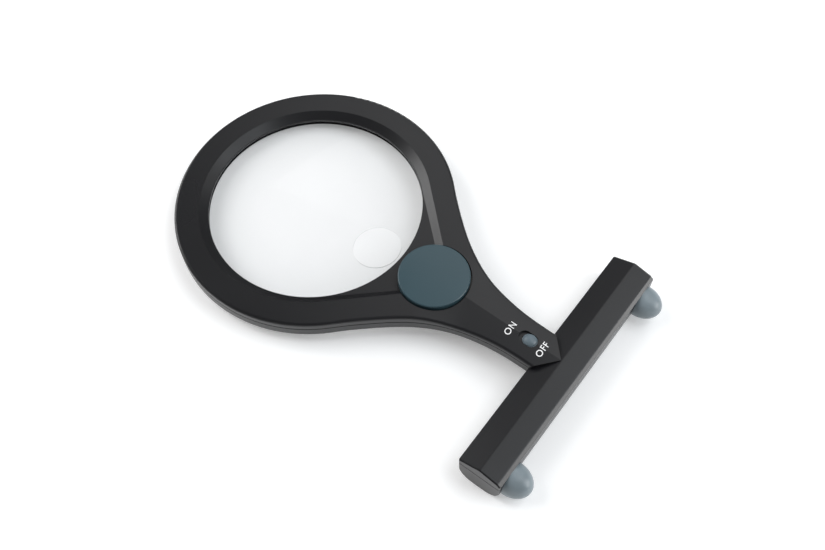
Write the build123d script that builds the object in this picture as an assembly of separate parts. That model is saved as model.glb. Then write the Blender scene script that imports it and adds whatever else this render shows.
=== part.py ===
"""Hands-free lighted magnifier: a lens ring on a flared neck and a battery crossbar with two rubber feet.

The parts are drawn in the magnifier's own axes: the optical axis is Z, with zero at the lens rim,
and X runs from the lens centre along the neck to the crossbar. At the end every part is turned
to the way the magnifier lies on a table, with the table at Z = 0. All sizes are millimetres.
"""
from build123d import *
import os
from math import asin, atan2, cos, degrees, hypot, radians, sin, sqrt

# --- Driving dimensions -------------------------------------------------------------------------
# Lens ring
LENS_OPENING_R = 51.0        # clear lens, in both shells
LENS_R = 52.5
LENS_FLARE_R = 54.5          # the opening widens below the lens
LENS_RIM_TOP = -0.65
LENS_RIM_BOTTOM = -3.05
LENS_TOP_SAG = 3.4           # how far each face bulges past the rim
LENS_BOTTOM_SAG = 4.6
SPOT_X = 37.0                # stronger spot segment, moulded on the lens's lower face
SPOT_R = 11.4
SPOT_SAG = 1.3
SPOT_STEP = 0.15             # its edge stands this far off the lens face
RING_R = 66.8
RING_TOP = 3.2
RING_BOTTOM = -6.4
TOP_EDGE_R = 1.4             # rounding of the outer edges
BOTTOM_EDGE_R = 1.5
RECESS_FLOOR = 0.5           # floor of the teardrop recess round the lens
RECESS_R = 55.2
RECESS_TIP_R = 7.0
RECESS_FLOOR_R = 51.3        # foot of the recess's sloped wall, round the lens
RECESS_FLOOR_TIP_R = 4.0
SEAM = -0.5                  # joint of the two shells at the ring
NECK_SEAM_DROP = 1.6         # how much lower the joint is beside the crossbar
SEAM_GROOVE = 0.5
WALL = 1.9

# Lamp head
LAMP_X = 70.3
CAP_R = 16.45
CAP_RIM_TOP = 4.6
CAP_DOME = 0.6
CAP_WALL = 1.4
CAP_EDGE_R = 0.6
CAP_GAP = 0.8
BOARD_R = 14.4
BOARD_T = 1.2
LAMP_HOLE_R = 11.0
LED_R = 1.5
LED_FLANGE_R = 1.9
LED_FLANGE_T = 0.9
LED_Y = 4.6
LED_LENGTH = 5.0
RESISTOR_R = 0.7
RESISTOR_LENGTH = 3.4
REFLECTOR_R = 9.3
REFLECTOR_TOP = -0.8
REFLECTOR_BOTTOM = -4.9
WINDOW_R = 11.8
WINDOW_FACE_R = 10.4
WINDOW_TOP = -4.95
WINDOW_LEDGE = -5.65
WINDOW_FACE = -6.25

# Neck
NECK_START_X = 73.0          # where the flat ring top begins to fall
NECK_HALF = 9.8              # half width beside the crossbar
NECK_SHOULDER_X = 129.4
TIP_X = 138.3                # the top ends in a point over the bar's ridge
RIDGE_START_X = 81.0
RIDGE_END_Z = 1.0
EDGE_FALL = 0.125            # sideways slope of the roof-shaped top
FALL_LENGTH = 24.0           # length over which that slope grows
RING_LEAVES_AT = 44.0        # degrees round the ring where the neck's side begins
NECK_SIDE = [(61.2, 34.0), (76.7, 22.0), (91.3, 15.0), (107.7, 11.0)]
NECK_UNDERSIDE = [(95.0, -6.4), (112.0, -7.5), (128.2, -8.2)]

# Switch
SWITCH_X = 121.3
SLOT_LENGTH = 9.2
SLOT_WIDTH = 6.2
SLOT_FLOOR = 0.2
KNOB_R = 2.9
KNOB_TOP = 2.7
SHUTTER_GAP = 0.15
SHUTTER_T = 0.45
STEM_X, STEM_Y = 2.2, 1.6
TRAVEL = 2.0
CAN_X, CAN_Y, CAN_Z = 8.6, 4.8, 3.3
CAN_TOP = -0.9
CAN_T = 0.3
SWITCH_BASE_T = 0.7
SWITCH_EAR = 2.6
SWITCH_HEAD_R, SWITCH_HEAD_T, SWITCH_SHANK_R = 1.0, 0.7, 0.6
SWITCH_SCREW_TIP = 0.3
PIN_PITCH = 2.5
PIN_DROP = 0.9
WIPER_X, WIPER_Y, WIPER_T = 4.0, 3.4, 1.5

# Crossbar
BAR_HALF = 61.4
BAR_END_EDGE = 0.6
BAR_INNER = (128.2, -3.1)    # edges of the top, as X and Z
BAR_RIDGE = (138.7, 0.75)
BAR_OUTER = (147.5, -1.6)
BAR_INNER_R, BAR_RIDGE_R, BAR_OUTER_R = 0.5, 1.2, 1.6
BAR_FACE_X = 149.1
BAR_SEAM = -6.0
BAR_BOTTOM = -18.9
BAR_MID = 138.6
CROWN_R = 30.0               # bottom face, crowned
CROWN_HALF = 5.0
BAR_CEILING = -2.0
CELL_R = 7.1                 # AA cells, in line
CELL_LENGTH = 49.2
NUB_R = 2.7
NUB = 1.2
CELL_Z = -9.75
BAY_R = 7.7
BAY_SPRING_END, BAY_NUB_END = -54.6, 51.1
BAY_HALF_X = 7.7
DOOR_HALF_X = 7.2
DOOR_HALF_Y = 51.2
DOOR_GAP = 0.25
DOOR_TOP = -16.0
DOOR_NOTCH_AT = 6.0
DOOR_RIBS = 5
DOOR_RIB_PITCH = 1.8
DOOR_RIB_HALF = 4.0
DOOR_RIB_DEPTH = 0.5
CONTACT_T = 0.4
CONTACT_R = 4.6
SPRING_R = 2.9
SPRING_WIRE_R = 0.35
SPRING_TURNS = 3

# Feet
FOOT_Y = 52.5
FOOT_Z = -10.6
FOOT_R = 7.5
FOOT_NOSE_X = 149.4
FOOT_TIP_X = 159.1
STEM_R = 2.2

# Screws
HEAD_R, HEAD_T, SHANK_R = 2.0, 1.3, 1.1
HEAD_WELL_R = 2.5
CROSS_LENGTH, CROSS_WIDTH, CROSS_DEPTH = 2.2, 0.5, 0.7
RING_SCREW_TURNS = (105, 180, 255)
RING_SCREW_R = 60.4
NECK_SCREW = (91.0, 9.6)
BAR_SCREW_Y = 57.4
SHALLOW_SEAT, DEEP_SEAT = -4.7, -13.0
BOSS_R = 3.3

# Cord loops under the ring
LOOP_AT = (18.0, 57.0)
LOOP_LENGTH, LOOP_T, LOOP_DROP = 7.0, 3.6, 4.2
LOOP_CORNER_R = 2.2
LOOP_WALL = 1.2
LOOP_HOLE_R = 1.3
LOOP_STEM_R, LOOP_STEM = 1.2, 1.5

# Wires
WIRE_R = 0.5
WIRE_CORNER = (131.7, -5.3)   # where the wires run along the bay, as X and Z
WIRE_BEND = 2.0

SPAN = 400.0                 # longer than the magnifier, for cutting blocks
DEPTH = 30.0                 # deeper than the magnifier, for upright cutters


# --- Helpers ------------------------------------------------------------------------------------
def side_prism(points, half_width):
    """A solid whose outline is in X and Z, spread evenly to both sides of Y = 0."""
    face = Plane.XZ * make_face(Polyline(*points, close=True))
    return extrude(face, amount=half_width, both=True)


def upright(radius, low, high, x=0.0, y=0.0):
    """A cylinder along Z between two heights."""
    return Pos(x, y, (low + high) / 2) * Cylinder(radius, high - low)


def block(x, y, z):
    """A box from its low and high limits on each axis."""
    sizes = (x[1] - x[0], y[1] - y[0], z[1] - z[0])
    return Pos(sum(x) / 2, sum(y) / 2, sum(z) / 2) * Box(*sizes)


def column(face, low=-DEPTH, high=DEPTH):
    """A flat face in X and Y pulled up from one height to another."""
    return Pos(0, 0, low) * extrude(face, amount=high - low)


def bulge(rim_r, sag, rim_z, up):
    """A shallow spherical cap on a round rim."""
    ball_r = (rim_r ** 2 + sag ** 2) / (2 * sag)
    sign = 1 if up else -1
    ball = Pos(0, 0, rim_z + sign * (sag - ball_r)) * Sphere(ball_r)
    near, far = rim_z, rim_z + sign * (sag + 1)
    return ball & upright(rim_r, min(near, far), max(near, far))


# --- Outlines -----------------------------------------------------------------------------------
def neck_side(inset):
    """The neck's +Y side from the ring to the crossbar, moved in by inset."""
    start = radians(RING_LEAVES_AT)
    first = (RING_R * cos(start), RING_R * sin(start))
    tangents = [(sin(start), -cos(start)), (1, 0)]
    side = Spline(first, *NECK_SIDE, (NECK_SHOULDER_X, NECK_HALF), tangents=tangents)
    if not inset:
        return side
    steps = 6
    moved = []
    for step in range(steps + 1):
        along = side % (step / steps)
        moved.append(side @ (step / steps) + Vector(along.Y, -along.X) * inset)
    return Spline(*moved, tangents=tangents)


def plan_outline(inset=0.0):
    """Ring and neck seen from above, moved in by inset."""
    side = neck_side(inset)
    other = mirror(side, about=Plane.XZ)
    back = ThreePointArc(side @ 0, (inset - RING_R, 0), other @ 0)
    end = Polyline(side @ 1, (TIP_X, 0), other @ 1)
    return make_face([side, other, back, end])


def teardrop(big, small):
    """The lens recess: a circle drawn out to a small round tip under the lamp cap."""
    lean = asin((big - small) / LAMP_X)
    near = (big * sin(lean), big * cos(lean))
    far = (LAMP_X + small * sin(lean), small * cos(lean))
    wedge = make_face(Polyline(near, far, (far[0], -far[1]), (near[0], -near[1]), close=True))
    return Circle(big) + Pos(LAMP_X, 0) * Circle(small) + wedge


def bar_section(inset=0.0):
    """The crossbar's outline in X and Z: two roof facets, upright faces and a crowned bottom."""
    crown_rise = CROWN_R - sqrt(CROWN_R ** 2 - CROWN_HALF ** 2)
    low_inner = (BAR_MID - CROWN_HALF, BAR_BOTTOM + crown_rise)
    low_outer = (BAR_MID + CROWN_HALF, BAR_BOTTOM + crown_rise)
    inner_end = (BAR_INNER[0] + 0.3, -10.8)
    outer_end = (BAR_FACE_X - 0.2, -10.8)
    top = Polyline(inner_end, BAR_INNER, BAR_RIDGE, BAR_OUTER, (BAR_FACE_X, BAR_OUTER[1] - 1.5), outer_end)
    outer = ThreePointArc(outer_end, (BAR_FACE_X - 1.7, -15.7), low_outer)
    crown = ThreePointArc(low_outer, (BAR_MID, BAR_BOTTOM), low_inner)
    inner = ThreePointArc(low_inner, (BAR_INNER[0] + 1.8, -15.9), inner_end)
    face = make_face([top, outer, crown, inner])
    for corner, radius in ((BAR_INNER, BAR_INNER_R), (BAR_RIDGE, BAR_RIDGE_R), (BAR_OUTER, BAR_OUTER_R)):
        face = fillet([v for v in face.vertices() if hypot(v.X - corner[0], v.Y - corner[1]) < 0.01], radius)
    return offset(face, amount=-inset, kind=Kind.INTERSECTION) if inset else face


def bar_prism(half_length, inset=0.0):
    """The crossbar's section spread to both sides of the neck."""
    return extrude(Plane.XZ * bar_section(inset), amount=half_length, both=True)


def roof_section(x, ridge, fall):
    """A slice across the neck: a roof shape that falls by fall for each unit of Y."""
    reach = 40.0
    eave = ridge - fall * reach
    face = make_face(Polyline((-reach, -DEPTH), (reach, -DEPTH), (reach, eave), (0, ridge), (-reach, eave),
                              close=True))
    return Plane(origin=(x, 0, 0), x_dir=(0, 1, 0), z_dir=(1, 0, 0)) * face


def roof():
    """Everything under the top surface of the ring and neck."""
    flat = block((-SPAN, NECK_START_X), (-SPAN, SPAN), (-DEPTH, RING_TOP))
    slices = 12
    end_x = TIP_X + 2
    sections = []
    for index in range(slices + 1):
        x = NECK_START_X + (end_x - NECK_START_X) * index / slices
        share = min(1.0, (x - NECK_START_X) / FALL_LENGTH)
        along = max(0.0, x - RIDGE_START_X) / (TIP_X - RIDGE_START_X)
        ridge = RING_TOP - (RING_TOP - RIDGE_END_Z) * along
        sections.append(roof_section(x, ridge, EDGE_FALL * share ** 2 * (3 - 2 * share)))
    return flat + loft(sections)


def seam_line(drop=0.0):
    """The shells' joint along ring and neck seen from the side, moved down by drop."""
    return [(-SPAN, SEAM - drop), (NECK_START_X, SEAM - drop), (BAR_INNER[0], SEAM - NECK_SEAM_DROP - drop)]


# --- Outer shape, parted at the seam --------------------------------------------------------------
def head_shape():
    """Ring and neck as one solid, with rounded outer edges."""
    underside = [(-SPAN, RING_BOTTOM), *NECK_UNDERSIDE, (SPAN, NECK_UNDERSIDE[-1][1])]
    space = side_prism(underside + [(SPAN, DEPTH), (-SPAN, DEPTH)], SPAN)
    shape = column(plan_outline()) & roof() & space

    def on_outline(edge):
        for share in (0, 0.5, 1):
            point = edge @ share
            on_ring = point.X < LENS_OPENING_R and hypot(point.X, point.Y) > RING_R - 0.1
            on_neck = point.X >= LENS_OPENING_R - 5 and abs(point.Y) > NECK_HALF - 0.8
            if point.X > NECK_SHOULDER_X + 0.1 or not (on_ring or on_neck):
                return False
        return True

    top_edges = [edge for edge in shape.edges() if on_outline(edge) and (edge @ 0.5).Z > -0.5]
    shape = fillet(top_edges, TOP_EDGE_R)
    low_edges = [edge for edge in shape.edges()
                 if on_outline(edge) and (edge @ 0.5).Z < -6 and (edge @ 0.5).X < BAR_INNER[0]]
    return fillet(low_edges, BOTTOM_EDGE_R)


def bar_shape():
    """The crossbar as one solid, with its end edges eased."""
    middle = bar_prism(BAR_HALF - BAR_END_EDGE)
    end_face = middle.faces().sort_by(Axis.Y)[-1]
    end = extrude(end_face, amount=BAR_END_EDGE, taper=35)
    return middle + end + mirror(end, about=Plane.XZ)


def neck_cavity():
    """The space for wires and switch between the shells, in the neck."""
    far_x = BAR_INNER[0] + 1.8
    outline = [(53.5, SEAM), (87.8, SEAM), (87.8, 0.9), (96.0, 0.6), (112.0, -0.85), (far_x, -0.85),
               (far_x, -6.4), (112.0, -5.9), (95.0, -4.8), (53.5, -4.8)]
    side = [(53.5, 37.0)] + [(x, y - WALL - 0.6) for x, y in NECK_SIDE] + [(far_x, NECK_HALF - WALL)]
    other = [(x, -y) for x, y in reversed(side)]
    inside = column(make_face(Polyline(*side, *other, close=True)))
    return side_prism(outline, SPAN) & inside - upright(LENS_R + 1.6, -DEPTH, DEPTH)


def ring_channel():
    """The hollow round the lens seat, open at the joint of the shells."""
    low = upright(RING_R - WALL, -4.8, SEAM) - upright(LENS_R + 1.8, -5, SEAM + 1)
    high = upright(RING_R - WALL - 0.3, SEAM, 1.4) - upright(RECESS_R + 1.8, SEAM - 1, 2)
    return low + high - block((38, 80), (-80, 80), (-6, 3))


def screw_places():
    """Each screw's X, Y, head seat and the height of its tip."""
    places = []
    for turn in RING_SCREW_TURNS:
        angle = radians(turn)
        places.append((RING_SCREW_R * cos(angle), RING_SCREW_R * sin(angle), SHALLOW_SEAT, 1.2))
    for side in (-1, 1):
        places.append((NECK_SCREW[0], side * NECK_SCREW[1], SHALLOW_SEAT, 0.4))
        places.append((BAR_MID, side * BAR_SCREW_Y, DEEP_SEAT, -3.6))
    return places


def screw_bosses():
    """Posts that the screws pass through, before they are drilled."""
    posts = [upright(BOSS_R, seat - 1, tip + 0.5, x, y) for x, y, seat, tip in screw_places()]
    return Compound(posts)


def hollowed(shell):
    """One shell with the spaces inside ring and neck, but with its screw posts left standing."""
    posts = shell & screw_bosses()
    return shell - neck_cavity() - ring_channel() + posts


def slot_cutter(length, width, low, high, x):
    """A round-ended slot along the neck."""
    ends = [upright(width / 2, low, high, x + side * (length - width) / 2) for side in (-1, 1)]
    middle = block((x - (length - width) / 2, x + (length - width) / 2), (-width / 2, width / 2), (low, high))
    return middle + ends[0] + ends[1]


def bay_space(low, high):
    """The battery bay between two heights, square to the cells' ends."""
    return block((BAR_MID - BAY_HALF_X, BAR_MID + BAY_HALF_X), (BAY_SPRING_END, BAY_NUB_END), (low, high))


def cell_trough():
    """A round trough along the crossbar for the cells."""
    middle = (BAY_SPRING_END + BAY_NUB_END) / 2
    trough = Cylinder(BAY_R, BAY_NUB_END - BAY_SPRING_END)
    return Pos(BAR_MID, middle, CELL_Z) * Rot(90, 0, 0) * trough


def drill_screws(shell, from_below):
    """Screw holes, with wells for the heads where the screws enter."""
    for x, y, seat, tip in screw_places():
        shell = shell - upright(SHANK_R, seat - 1, tip, x, y)
        if from_below:
            shell = shell - upright(HEAD_WELL_R, -DEPTH, seat, x, y)
    return shell


def under_seam():
    """Everything below the joint of the shells."""
    low = -2 * DEPTH
    return side_prism(seam_line() + [(BAR_INNER[0], BAR_SEAM), (SPAN, BAR_SEAM), (SPAN, low), (-SPAN, low)], SPAN)


def lens_seat():
    """The groove that the lens rim sits in, with the clear opening."""
    seat = upright(LENS_R + 0.3, LENS_RIM_BOTTOM - 0.05, LENS_RIM_TOP + 0.05)
    low = RING_BOTTOM - 1
    flare = Pos(0, 0, (low + LENS_RIM_BOTTOM) / 2) * Cone(LENS_FLARE_R, LENS_OPENING_R, LENS_RIM_BOTTOM - low)
    return seat + upright(LENS_OPENING_R, LENS_RIM_BOTTOM, DEPTH) + flare


def upper_shell(body):
    """Upper shell: lens recess, lamp well, switch slot and the crossbar's roof."""
    shell = hollowed(body - under_seam())
    foot, brim = teardrop(RECESS_FLOOR_R, RECESS_FLOOR_TIP_R), teardrop(RECESS_R, RECESS_TIP_R)
    recess = column(foot, RECESS_FLOOR, DEPTH)
    slope = loft([Pos(0, 0, RECESS_FLOOR) * foot, Pos(0, 0, RING_TOP) * brim], ruled=True)
    slope = slope + column(brim, RING_TOP, DEPTH)
    well = upright(CAP_R + CAP_GAP, RECESS_FLOOR, DEPTH, LAMP_X)
    lamp_hole = upright(LAMP_HOLE_R, -DEPTH, RECESS_FLOOR + 1, LAMP_X)
    shell = shell - recess - slope - well - lamp_hole - lens_seat()
    hollow = bar_prism(BAR_HALF, 2.4) & bay_space(BAR_SEAM - 1, BAR_CEILING)
    wire_way = block((BAR_INNER[0] - 2, BAR_INNER[0] + 4), (-5, 5), (BAR_SEAM - 1, -4.4))
    knob_slot = slot_cutter(SLOT_LENGTH, SLOT_WIDTH, SLOT_FLOOR, DEPTH, SWITCH_X)
    stem_slot = slot_cutter(TRAVEL + STEM_X + 1.6, STEM_Y + 0.6, -DEPTH, SLOT_FLOOR + 1, SWITCH_X)
    shell = shell - hollow - wire_way - knob_slot - stem_slot
    for x in switch_screw_xs():
        shell = shell - upright(SWITCH_SHANK_R, CAN_TOP - 1, SWITCH_SCREW_TIP, x)
    return drill_screws(shell, False)


def lower_shell(body):
    """Lower shell: lens ledge, lamp window, battery bay with its door opening, and sockets for feet and cord loops."""
    shell = hollowed(body & under_seam())
    door_way = block((BAR_MID - DOOR_HALF_X, BAR_MID + DOOR_HALF_X), (-DOOR_HALF_Y, BAY_NUB_END), (-DEPTH, CELL_Z))
    groove = side_prism(seam_line() + seam_line(SEAM_GROOVE)[::-1], SPAN) - column(plan_outline(SEAM_GROOVE))
    bar_groove = block((BAR_INNER[0], SPAN), (-SPAN, SPAN), (BAR_SEAM - SEAM_GROOVE, BAR_SEAM))
    bar_groove = bar_groove - bar_prism(BAR_HALF - 0.4, 0.4) - block((0, BAR_MID), (-NECK_HALF, NECK_HALF), (-DEPTH, 0))
    shell = shell - bay_space(CELL_Z, 0) - cell_trough() - door_way - groove - bar_groove - lens_seat()
    shell = shell - upright(WINDOW_FACE_R + 0.15, -DEPTH, 0, LAMP_X)
    shell = shell - upright(WINDOW_R + 0.1, WINDOW_LEDGE, 0, LAMP_X)
    for side in (-1, 1):
        shell = shell - Pos(BAR_FACE_X, side * FOOT_Y, FOOT_Z) * Rot(0, 90, 0) * Cylinder(STEM_R, 6)
        shell = shell - upright(LOOP_STEM_R, -DEPTH, RING_BOTTOM + LOOP_STEM, LOOP_AT[0], side * LOOP_AT[1])
    return drill_screws(shell, True)


def cord_loop(side):
    """A loop for the neck cord under the ring, with its hole along X and a stem pressed into the lower shell."""
    x, y = LOOP_AT
    bottom = RING_BOTTOM - LOOP_DROP
    lug = block((x - LOOP_T / 2, x + LOOP_T / 2), (y - LOOP_LENGTH / 2, y + LOOP_LENGTH / 2), (bottom, RING_BOTTOM))
    lug = fillet(lug.edges().filter_by(Axis.X).group_by(Axis.Z)[0], LOOP_CORNER_R)
    hole = Pos(x, y, bottom + LOOP_WALL + LOOP_HOLE_R) * Rot(0, 90, 0) * Cylinder(LOOP_HOLE_R, LOOP_T + 2)
    lug = lug - hole + upright(LOOP_STEM_R, RING_BOTTOM - 0.2, RING_BOTTOM + LOOP_STEM, x, y)
    return lug if side > 0 else mirror(lug, about=Plane.XZ)


# --- Lens and lamp head --------------------------------------------------------------------------
def main_lens():
    """Biconvex lens with a stronger spot segment moulded on its lower face."""
    disc = upright(LENS_R, LENS_RIM_BOTTOM, LENS_RIM_TOP)
    lens = disc + bulge(LENS_OPENING_R - 0.1, LENS_TOP_SAG, LENS_RIM_TOP, True)
    lens = lens + bulge(LENS_OPENING_R - 0.1, LENS_BOTTOM_SAG, LENS_RIM_BOTTOM, False)
    ball_r = ((LENS_OPENING_R - 0.1) ** 2 + LENS_BOTTOM_SAG ** 2) / (2 * LENS_BOTTOM_SAG)
    centre_z = LENS_RIM_BOTTOM - LENS_BOTTOM_SAG + ball_r
    lean = asin(SPOT_X / ball_r)
    spot = upright(SPOT_R, -SPOT_STEP, 1.0) + bulge(SPOT_R, SPOT_SAG, -SPOT_STEP, False)
    placed = Pos(0, 0, centre_z) * Rot(0, -degrees(lean), 0) * Pos(0, 0, -ball_r + 0.2) * spot
    return lens + placed


def led_cap():
    """Round cap over the lamp: a shallow dome with a rolled rim and a skirt."""
    bottom = RECESS_FLOOR + 0.05
    shape = upright(CAP_R, bottom, CAP_RIM_TOP, LAMP_X)
    shape = fillet(shape.edges().group_by(Axis.Z)[-1], CAP_EDGE_R)
    dome = Pos(LAMP_X, 0, 0) * bulge(CAP_R - CAP_EDGE_R, CAP_DOME, CAP_RIM_TOP, True)
    return shape + dome - upright(CAP_R - CAP_WALL, bottom - 1, CAP_RIM_TOP - CAP_WALL, LAMP_X)


def led_board():
    """Round circuit board that carries the two lamps and the resistor."""
    board = upright(BOARD_R, RECESS_FLOOR, RECESS_FLOOR + BOARD_T, LAMP_X)
    for side in (-1, 1):
        for leg in (-1, 1):
            board = board - upright(0.35, -DEPTH, DEPTH, LAMP_X + leg * 1.27, side * LED_Y)
    return board


def leds():
    """Two round-nosed lamps that point down through the window."""
    lamps = []
    for side in (-1, 1):
        y = side * LED_Y
        tip = RECESS_FLOOR - LED_LENGTH + LED_R
        body = upright(LED_R, tip, RECESS_FLOOR, LAMP_X, y) + Pos(LAMP_X, y, tip) * Sphere(LED_R)
        body = body + upright(LED_FLANGE_R, RECESS_FLOOR - LED_FLANGE_T, RECESS_FLOOR, LAMP_X, y)
        for leg in (-1, 1):
            body = body + upright(0.25, RECESS_FLOOR, RECESS_FLOOR + BOARD_T + 0.6, LAMP_X + leg * 1.27, y)
        lamps.append(body)
    return Compound(lamps)


def resistor():
    """Small through-hole resistor lying on the board."""
    z = RECESS_FLOOR + BOARD_T + RESISTOR_R + 0.1
    body = Pos(LAMP_X + 4, 0, z) * Rot(90, 0, 0) * Cylinder(RESISTOR_R, RESISTOR_LENGTH)
    leads = Pos(LAMP_X + 4, 0, z) * Rot(90, 0, 0) * Cylinder(0.25, RESISTOR_LENGTH + 4)
    return body + leads


def led_reflector():
    """Bright cup block with one flared cup for each lamp."""
    cup = upright(REFLECTOR_R, REFLECTOR_BOTTOM, REFLECTOR_TOP, LAMP_X)
    height = REFLECTOR_TOP - REFLECTOR_BOTTOM
    for side in (-1, 1):
        flare = Pos(LAMP_X, side * LED_Y, (REFLECTOR_TOP + REFLECTOR_BOTTOM) / 2) * Cone(4.3, LED_FLANGE_R, height)
        cup = cup - flare - upright(LED_FLANGE_R + 0.1, REFLECTOR_BOTTOM, REFLECTOR_TOP + 1, LAMP_X, side * LED_Y)
    return cup


def led_window():
    """Clear disc that closes the lamp head from below."""
    flange = upright(WINDOW_R, WINDOW_LEDGE, WINDOW_TOP, LAMP_X)
    return flange + upright(WINDOW_FACE_R, WINDOW_FACE, WINDOW_LEDGE, LAMP_X)


# --- Switch -------------------------------------------------------------------------------------
def switch_screw_xs():
    """Where the two ears of the switch are screwed, along X."""
    return [SWITCH_X + side * (CAN_X / 2 + SWITCH_EAR / 2) for side in (-1, 1)]


def knob_x():
    """The knob rests at the end of its slot beside the crossbar, which is off."""
    return SWITCH_X + TRAVEL / 2


def switch_knob():
    """Domed thumb knob, its shutter that fills the slot, and the stem that reaches into the switch."""
    x = knob_x()
    base_top = SLOT_FLOOR + 1.0
    rise = KNOB_TOP - base_top
    ball_r = (KNOB_R ** 2 + rise ** 2) / (2 * rise)
    dome = Pos(x, 0, KNOB_TOP - ball_r) * Sphere(ball_r) & upright(KNOB_R, base_top, KNOB_TOP + 1, x)
    knob = upright(KNOB_R, SLOT_FLOOR + SHUTTER_GAP, base_top, x) + dome
    shutter_low = SLOT_FLOOR + SHUTTER_GAP
    knob = knob + slot_cutter(SLOT_LENGTH - TRAVEL - 2 * SHUTTER_GAP, SLOT_WIDTH - 2 * SHUTTER_GAP,
                              shutter_low, shutter_low + SHUTTER_T, x)
    return knob + block((x - STEM_X / 2, x + STEM_X / 2), (-STEM_Y / 2, STEM_Y / 2), (wiper_top(), base_top))


def wiper_top():
    """Height of the sliding contact's upper face."""
    return CAN_TOP - CAN_T - 0.4


def switch_wiper():
    """Sliding contact block inside the switch, which moves with the knob."""
    x = knob_x()
    top = wiper_top()
    carrier = block((x - WIPER_X / 2, x + WIPER_X / 2), (-WIPER_Y / 2, WIPER_Y / 2), (top - WIPER_T, top))
    for side in (-1, 1):
        rib_x = x + side * WIPER_X / 4
        carrier = carrier + block((rib_x - 0.3, rib_x + 0.3), (-1.2, 1.2), (top - WIPER_T - 0.3, top - WIPER_T))
    return carrier


def switch_can():
    """Pressed metal case of the switch, with a screwed ear at each end."""
    low = CAN_TOP - CAN_Z
    half_x, half_y = CAN_X / 2, CAN_Y / 2
    case = block((SWITCH_X - half_x, SWITCH_X + half_x), (-half_y, half_y), (low, CAN_TOP))
    case = case - block((SWITCH_X - half_x + CAN_T, SWITCH_X + half_x - CAN_T), (-half_y + CAN_T, half_y - CAN_T),
                        (low - 1, CAN_TOP - CAN_T))
    ear_end = half_x + SWITCH_EAR
    case = case + block((SWITCH_X - ear_end, SWITCH_X - half_x), (-1.6, 1.6), (CAN_TOP - CAN_T, CAN_TOP))
    case = case + block((SWITCH_X + half_x, SWITCH_X + ear_end), (-1.6, 1.6), (CAN_TOP - CAN_T, CAN_TOP))
    case = case - slot_cutter(TRAVEL + STEM_X + 1.0, STEM_Y + 0.8, low - 1, CAN_TOP + 1, SWITCH_X)
    for x in switch_screw_xs():
        case = case - upright(SWITCH_SHANK_R, CAN_TOP - 1, CAN_TOP + 1, x)
    return case


def switch_base():
    """Insulating base that closes the switch from below."""
    top = CAN_TOP - CAN_Z
    return block((SWITCH_X - CAN_X / 2, SWITCH_X + CAN_X / 2), (-CAN_Y / 2, CAN_Y / 2), (top - SWITCH_BASE_T, top))


def switch_pins():
    """Three solder pins under the switch."""
    top = CAN_TOP - CAN_Z - SWITCH_BASE_T
    pins = []
    for step in (-1, 0, 1):
        x = SWITCH_X + step * PIN_PITCH
        pins.append(block((x - 0.4, x + 0.4), (-0.9, 0.9), (top - PIN_DROP, top)))
    return Compound(pins)


def switch_screws():
    """Two small screws that hold the switch's ears to the upper shell."""
    seat = CAN_TOP - CAN_T
    screws = []
    for x in switch_screw_xs():
        shank = upright(SWITCH_SHANK_R, seat, SWITCH_SCREW_TIP, x)
        screws.append(shank + upright(SWITCH_HEAD_R, seat - SWITCH_HEAD_T, seat, x))
    return Compound(screws)


# --- Battery bay --------------------------------------------------------------------------------
def along_bar(radius, low_y, high_y, x=BAR_MID, z=CELL_Z):
    """A cylinder along the crossbar."""
    return Pos(x, (low_y + high_y) / 2, z) * Rot(90, 0, 0) * Cylinder(radius, high_y - low_y)


def nub_tip_y():
    """Where the cells end against the positive contact."""
    return BAY_NUB_END - 0.1 - CONTACT_T


def battery_cell(index):
    """One AA cell with its raised positive end towards +Y."""
    high = nub_tip_y() - index * (CELL_LENGTH + NUB)
    can = along_bar(CELL_R, high - NUB - CELL_LENGTH, high - NUB)
    can = fillet(can.edges().filter_by(GeomType.CIRCLE), 0.6)
    return can + along_bar(NUB_R, high - NUB - 0.2, high)


def contact_plate(low_y):
    """Round contact with a tab for its wire in the corner of the bay."""
    high_y = low_y + CONTACT_T
    tab = block((WIRE_CORNER[0] - 0.5, BAR_MID), (low_y, high_y), (WIRE_CORNER[1] - 0.6, WIRE_CORNER[1] + 0.6))
    return along_bar(CONTACT_R, low_y, high_y) + tab


def positive_contact():
    """Flat contact that meets the raised end of the cells."""
    return contact_plate(nub_tip_y())


def negative_contact():
    """Plate behind the contact spring."""
    return contact_plate(BAY_SPRING_END + 0.1)


def contact_spring():
    """Coil spring that pushes the cells against the positive contact."""
    start = BAY_SPRING_END + 0.1 + CONTACT_T
    length = nub_tip_y() - 2 * (CELL_LENGTH + NUB) - start
    coil_length = length - 2 * SPRING_WIRE_R
    helix = Helix(pitch=coil_length / SPRING_TURNS, height=coil_length, radius=SPRING_R)
    section = Plane(origin=helix @ 0, z_dir=helix % 0) * Circle(SPRING_WIRE_R)
    coil = sweep(section, path=helix, is_frenet=True)
    return Pos(BAR_MID, start + SPRING_WIRE_R, CELL_Z) * Rot(-90, 0, 0) * coil


def battery_door():
    """Cover of the battery bay, flush with the crossbar's underside, with a thumb notch and grip ribs."""
    half_x, half_y = DOOR_HALF_X - DOOR_GAP, DOOR_HALF_Y - DOOR_GAP
    cover = bar_prism(half_y) & block((BAR_MID - half_x, BAR_MID + half_x), (-half_y, half_y), (-DEPTH, DOOR_TOP))
    cover = cover - cell_trough()
    rib_start = half_y - DOOR_NOTCH_AT
    for index in range(DOOR_RIBS):
        y = rib_start - index * DOOR_RIB_PITCH
        cut = block((BAR_MID - DOOR_RIB_HALF, BAR_MID + DOOR_RIB_HALF), (y - 0.4, y + 0.4),
                    (-DEPTH, BAR_BOTTOM + DOOR_RIB_DEPTH))
        cover = cover - cut
    return cover


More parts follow.
